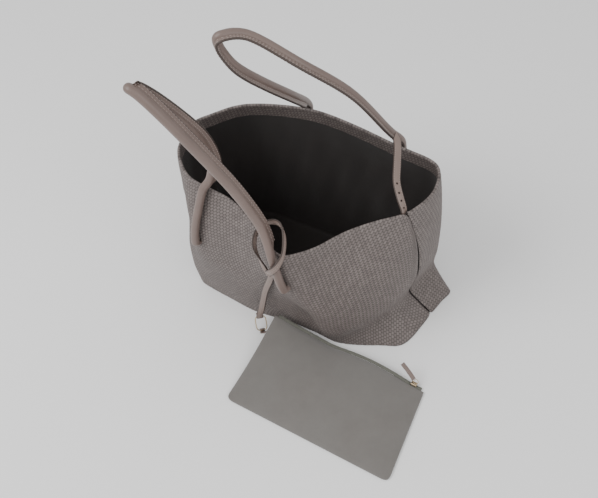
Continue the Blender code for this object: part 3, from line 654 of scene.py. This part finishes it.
for handle_name, handle_node in (("front", "front_handle"), ("back", "back_handle")):
    rings = rings_of(handle_node, HANDLE_RING)
    middles = np.array([ring.mean(axis=0) for ring in rings])
    ways = directions_of(middles)
    spans = [np.linalg.norm(ring - middle, axis=1) for ring, middle in zip(rings, middles)]
    widest = int(np.argmax([span.max() for span in spans]))
    tips = rings[widest][np.argsort(spans[widest])[-2:]]
    guide = tips.mean(axis=0) - middles[widest]
    fins = [None] * len(rings)
    for order in (range(widest, len(rings)), range(widest, -1, -1)):
        heading = guide / np.linalg.norm(guide)
        for number in order:
            heading = heading - ways[number] * (heading @ ways[number])
            heading /= np.linalg.norm(heading)
            reach = (rings[number] - middles[number]) @ heading
            ends = rings[number][np.argsort(reach)[-2:]].mean(axis=0)
            found = ends - middles[number]
            if np.linalg.norm(found) > 1.05 * np.median(spans[number]):
                heading = found / np.linalg.norm(found)
            fins[number] = heading
    fins = np.array(fins)
    tubes = []
    radii = []
    tips = []
    for ring, middle, fin, way in zip(rings, middles, fins, ways):
        reach = (ring - middle) @ fin
        rest = ring[np.argsort(reach)[:-2]]
        side = np.cross(way, fin)
        radius = ((rest - middle) @ side).max()
        centre = middle + fin * (((rest - middle) @ fin).min() + radius)
        tubes.append(centre)
        radii.append(radius)
        tips.append((ring - centre) @ fin)
    tubes = finer(tubes, RING_FINENESS)
    radii = finer(np.array(radii)[:, None], RING_FINENESS)[:, 0]
    tips = finer(np.array([tip.max() for tip in tips])[:, None], RING_FINENESS)[:, 0]
    ways = directions_of(tubes)
    fins = squared_to(finer(fins, RING_FINENESS), ways)
    sides = np.cross(ways, fins)
    start_turn = math.asin(FLANGE_HALF / radii.mean())
    round_turns = np.linspace(start_turn, 2 * math.pi - start_turn, HANDLE_SIDES)
    tip_turns = np.radians((-90, -45, 0, 45, 90))
    skin = []
    for tube, radius, tip, fin, side in zip(tubes, radii, tips, fins, sides):
        ring = [tube + radius * (fin * math.cos(turn) + side * math.sin(turn)) for turn in round_turns]
        reach = max(tip, radius) - FLANGE_HALF
        for turn in tip_turns:
            edge = fin * (reach + FLANGE_HALF * math.cos(turn))
            ring.append(tube + edge + side * FLANGE_HALF * math.sin(turn))
        skin.append(ring)
    edge_columns = np.zeros(HANDLE_SIDES + len(tip_turns))
    edge_columns[HANDLE_SIDES : HANDLE_SIDES + len(tip_turns) - 1] = 1
    handle = tube_mesh(handle_name + "_rolled_handle", skin, [rolled_leather, painted_edge], edge_columns)
    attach(handle, "root")
    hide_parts(handle_node)

    flanged = np.flatnonzero(tips - radii > STITCHED_FROM)
    flanged = slice(flanged[0], flanged[-1] + 1)
    picks = picked_along(tubes[flanged], STITCH_PITCH)
    places = []
    heads = []
    ups = []
    for reach in STITCH_ROWS:
        for face in (1, -1):
            line = (tubes + fins * (radii + reach)[:, None] + sides * face * FLANGE_HALF)[flanged]
            places.append(rows_at(line, picks))
            heads.append(rows_at(ways[flanged], picks))
            ups.append(rows_at(sides[flanged] * face, picks))
    laid = map(np.concatenate, (places, heads, ups))
    stitches = stitches_mesh(handle_name + "_handle_stitches", *laid, thread)

# Straps
# Flat doubled leather straps, edge-painted and stitched along both sides: the closing strap
# that stands up from inside the right seam, and its short counterpart inside the left one.
STRAP_RING = 6
STRAP_SIDES = 5
STRAP_FINENESS = 5
STRAP_STITCH_LENGTH = 0.0022
STRAP_STITCH_RADIUS = 0.00032
STRAP_STITCH_INSET = 0.0020
STRAP_HOLE = 0.0032
HOLE_PLACES = (0.50, 0.60, 0.70, 0.80)


def strap_lines(node):
    """Middle line, side vectors, up vectors, half widths and half thickness of a CAD strap."""
    rings = rings_of(node, STRAP_RING)
    middles = np.array([ring.mean(axis=0) for ring in rings])
    ways = directions_of(middles)
    sides = []
    halves = []
    for ring in rings:
        gaps = np.linalg.norm(ring[:, None] - ring[None], axis=2)
        a, b = np.unravel_index(np.argmax(gaps), gaps.shape)
        side = ring[a] - ring[b]
        if sides and side @ sides[-1] < 0:
            side = -side
        sides.append(side / np.linalg.norm(side))
        halves.append(gaps[a, b] / 2)
    ups = np.cross(ways, sides)
    half_thickness = np.median([
        np.abs((ring - middle) @ up).max() for ring, middle, up in zip(rings, middles, ups)
    ])
    line = finer(middles, STRAP_FINENESS)
    ways = directions_of(line)
    sides = squared_to(finer(sides, STRAP_FINENESS), ways)
    halves = finer(np.array(halves)[:, None], STRAP_FINENESS)[:, 0]
    return line, ways, sides, np.cross(ways, sides), halves, half_thickness


def strap_skin(name, node, finishes, round_end=False):
    """A smooth strap over a CAD one, with rounded edges in their own finish."""
    line, _, sides, ups, halves, thick = strap_lines(node)
    profile = []
    for centre, turn in ((1, -90), (-1, 90)):
        for step in range(STRAP_SIDES):
            angle = math.radians(turn + 180 * step / (STRAP_SIDES - 1))
            profile.append((centre, math.cos(angle), math.sin(angle)))
    if round_end:
        along = np.concatenate([[0], np.cumsum(np.linalg.norm(np.diff(line, axis=0), axis=1))])
        near_end = np.clip(1 - along / halves[0], 0, 1)
        halves = halves * np.sqrt(np.clip(1 - near_end**2, 0.03, 1))
    skin = []
    for point, side, up, half in zip(line, sides, ups, halves):
        flat_half = max(half - thick, 0.0002)
        skin.append([
            point + side * (flat * flat_half + thick * x) + up * thick * y for flat, x, y in profile
        ])
    edge_columns = np.zeros(len(profile))
    edge_columns[: STRAP_SIDES - 1] = 1
    edge_columns[STRAP_SIDES : 2 * STRAP_SIDES - 1] = 1
    made = tube_mesh(name, skin, finishes, edge_columns if len(finishes) > 1 else None)
    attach(made, "root")
    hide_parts(node)
    return made


def strap_stitches(name, node, faces, insets, start=0.0, end=1.0):
    """Rows of stitches along a strap's faces, in from its edges."""
    line, ways, sides, ups, halves, thick = strap_lines(node)
    keep = slice(int(start * len(line)), max(int(end * len(line)), 2))
    picks = picked_along(line[keep], STITCH_PITCH * 0.8)
    places = []
    heads = []
    lifts = []
    for face in faces:
        for edge_side in insets:
            row = line + sides * ((halves - STRAP_STITCH_INSET) * edge_side)[:, None]
            row = row + ups * face * thick
            places.append(rows_at(row[keep], picks))
            heads.append(rows_at(ways[keep], picks))
            lifts.append(rows_at(ups[keep] * face, picks))
    laid = map(np.concatenate, (places, heads, lifts))
    made = stitches_mesh(name, *laid, thread, STRAP_STITCH_LENGTH, STRAP_STITCH_RADIUS)


strap_leather = smooth_leather("strap_leather", (0.235, 0.175, 0.150), (0.170, 0.125, 0.108), 0.5)
closing = strap_skin("closing_strap_skin", "closing_strap", [strap_leather, painted_edge])
strap_stitches("closing_strap_stitches", "closing_strap", (1, -1), (1, -1), 0.15, 0.93)
line, _, _, ups, _, thick = strap_lines("closing_strap")
for number, share in enumerate(HOLE_PLACES):
    here = int(share * len(line))
    bpy.ops.mesh.primitive_cylinder_add(
        vertices=20,
        radius=STRAP_HOLE / 2,
        depth=8 * thick,
        location=line[here],
    )
    punch = bpy.context.object
    punch.name = f"strap_punch_{number}"
    punch.rotation_mode = "QUATERNION"
    punch.rotation_quaternion = Vector(ups[here]).to_track_quat("Z", "Y")
    punch.hide_render = True
    punch.display_type = "WIRE"
    hole = closing.modifiers.new(f"hole_{number}", "BOOLEAN")
    hole.object = punch
    hole.solver = "EXACT"
strap_skin("counter_strap_skin", "counter_strap", [strap_leather, painted_edge])
strap_stitches("counter_strap_stitches", "counter_strap", (1, -1), (1, -1), 0.1, 0.95)

# Metal fittings
# Small cast fittings in aged, slightly golden brass: the stud on the counter strap, the ring
# between tether and pouch, the zip slider and its little ring.
def aged_brass():
    """Warm dark metal with paler worn spots."""
    made, tree, shader = blank_material("aged_brass", 0.32, 1.0)
    colour = mixed(tree, noise_of(tree, 160), (0.30, 0.22, 0.14), (0.62, 0.50, 0.33))
    tree.links.new(colour, shader.inputs["Base Color"])
    return made


def smooth_copy(name, node, finish, levels, simple=False):
    """A finer copy of a CAD piece that stands for it."""
    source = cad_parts[node]
    mesh = source.data.copy()
    mesh.materials.clear()
    mesh.materials.append(finish)
    work = bmesh.new()
    work.from_mesh(mesh)
    bmesh.ops.remove_doubles(work, verts=work.verts, dist=0.00001)
    bmesh.ops.join_triangles(
        work,
        faces=work.faces,
        angle_face_threshold=0.9,
        angle_shape_threshold=0.9,
    )
    work.to_mesh(mesh)
    work.free()
    mesh.shade_smooth()
    made = bpy.data.objects.new(name, mesh)
    bpy.context.scene.collection.objects.link(made)
    fine = made.modifiers.new("finer", "SUBSURF")
    fine.subdivision_type = "SIMPLE" if simple else "CATMULL_CLARK"
    fine.levels = levels
    fine.render_levels = levels
    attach(made, "root")
    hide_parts(node)
    return made


brass = aged_brass()
for fitting in ("strap_stud", "tether_ring", "puller_ring"):
    smooth_copy(fitting + "_metal", fitting, brass, 2)
slider = smooth_copy("zip_slider_metal", "zip_slider", brass, 0, simple=True)
rounding = slider.modifiers.new("rounding", "BEVEL")
rounding.width = 0.0007
rounding.segments = 3

# Tether
# A doubled strap stitched along its middle. It is looped round the front handle's leg through
# a slit in its own rounded end, and its tail holds the ring that the pouch hangs on.
strap_skin("tether_skin", "tether", [strap_leather, painted_edge], round_end=True)
strap_stitches("tether_stitches", "tether", (1, -1), (0.0,), 0.03, 0.80)
smooth_copy("pouch_tab_skin", "pouch_tab", rolled_leather, 2)

# Zip pouch
# Two leaves of grey suede joined round three sides, lying on the floor. A zip with soft tapes,
# part open, closes the fourth side, and a leather puller hangs from its slider.
SUEDE_WAVE = 0.0007
SUEDE_WAVE_SIZE = 0.045


def grey_suede():
    """Soft mottled suede, paler where the nap is brushed."""
    made, tree, shader = blank_material("grey_suede", 0.93)
    brushed = mixed(tree, noise_of(tree, 38, 6, 0.7), (0.105, 0.092, 0.084), (0.185, 0.168, 0.156))
    colour = mixed(tree, noise_of(tree, 9, 2), brushed, (0.150, 0.145, 0.135))
    tree.links.new(colour, shader.inputs["Base Color"])
    shader.inputs["Sheen Weight"].default_value = 0.35
    shader.inputs["Sheen Roughness"].default_value = 0.5
    bumped(tree, shader, noise_of(tree, 700, 4, 0.7), 0.0004, 0.5)
    return made


suede = grey_suede()
slack = bpy.data.textures.new("slack", "CLOUDS")
slack.noise_scale = SUEDE_WAVE_SIZE
for leaf in ("pouch_front", "pouch_back"):
    made = smooth_copy(leaf + "_suede", leaf, suede, 3, simple=True)
    evening = made.modifiers.new("evening", "SMOOTH")
    evening.factor = 0.5
    evening.iterations = 14
    if leaf == "pouch_front":
        wave = made.modifiers.new("slack", "DISPLACE")
        wave.texture = slack
        wave.texture_coords = "GLOBAL"
        wave.strength = SUEDE_WAVE
        wave.mid_level = 0.5

tape_cloth, tape_tree, tape_shader = blank_material("zip_tape_cloth", 0.85)
tape_colour = mixed(tape_tree, noise_of(tape_tree, 300), (0.085, 0.085, 0.070), (0.150, 0.150, 0.128))
tape_tree.links.new(tape_colour, tape_shader.inputs["Base Color"])
for tape in ("zip_tape_front", "zip_tape_back"):
    strap_skin(tape + "_cloth", tape, [tape_cloth])
smooth_copy("zip_puller_skin", "zip_puller", rolled_leather, 2, simple=True)
